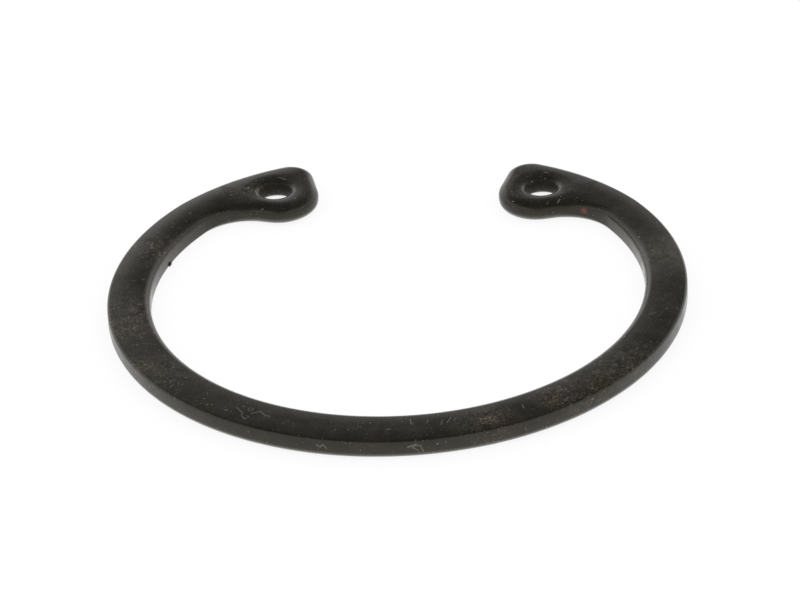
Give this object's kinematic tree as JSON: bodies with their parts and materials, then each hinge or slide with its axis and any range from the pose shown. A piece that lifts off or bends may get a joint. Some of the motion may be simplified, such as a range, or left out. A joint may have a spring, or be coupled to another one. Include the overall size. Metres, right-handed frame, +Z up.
{
  "type": "internal circlip",
  "caption": "Flat spring steel retaining ring, open at one side, with a drilled lug at each end; springs into a groove inside a bore.",
  "frame": {"origin": "centre of the ring's outer circle, in the plane of its underside", "axes": "+Z up through the flat ring, along the bore that it is sprung into; +Y from the front of the band towards the gap between the lugs; +X to the right-hand lug"},
  "size_m": [0.032, 0.03, 0.0012],
  "materials": {
    "black_oxide_steel": "black oxide on spring steel, stamped and tumbled, with small rust stains"
  },
  "bodies": {
    "root": {"ring": "black_oxide_steel"}
  },
  "joints": []
}
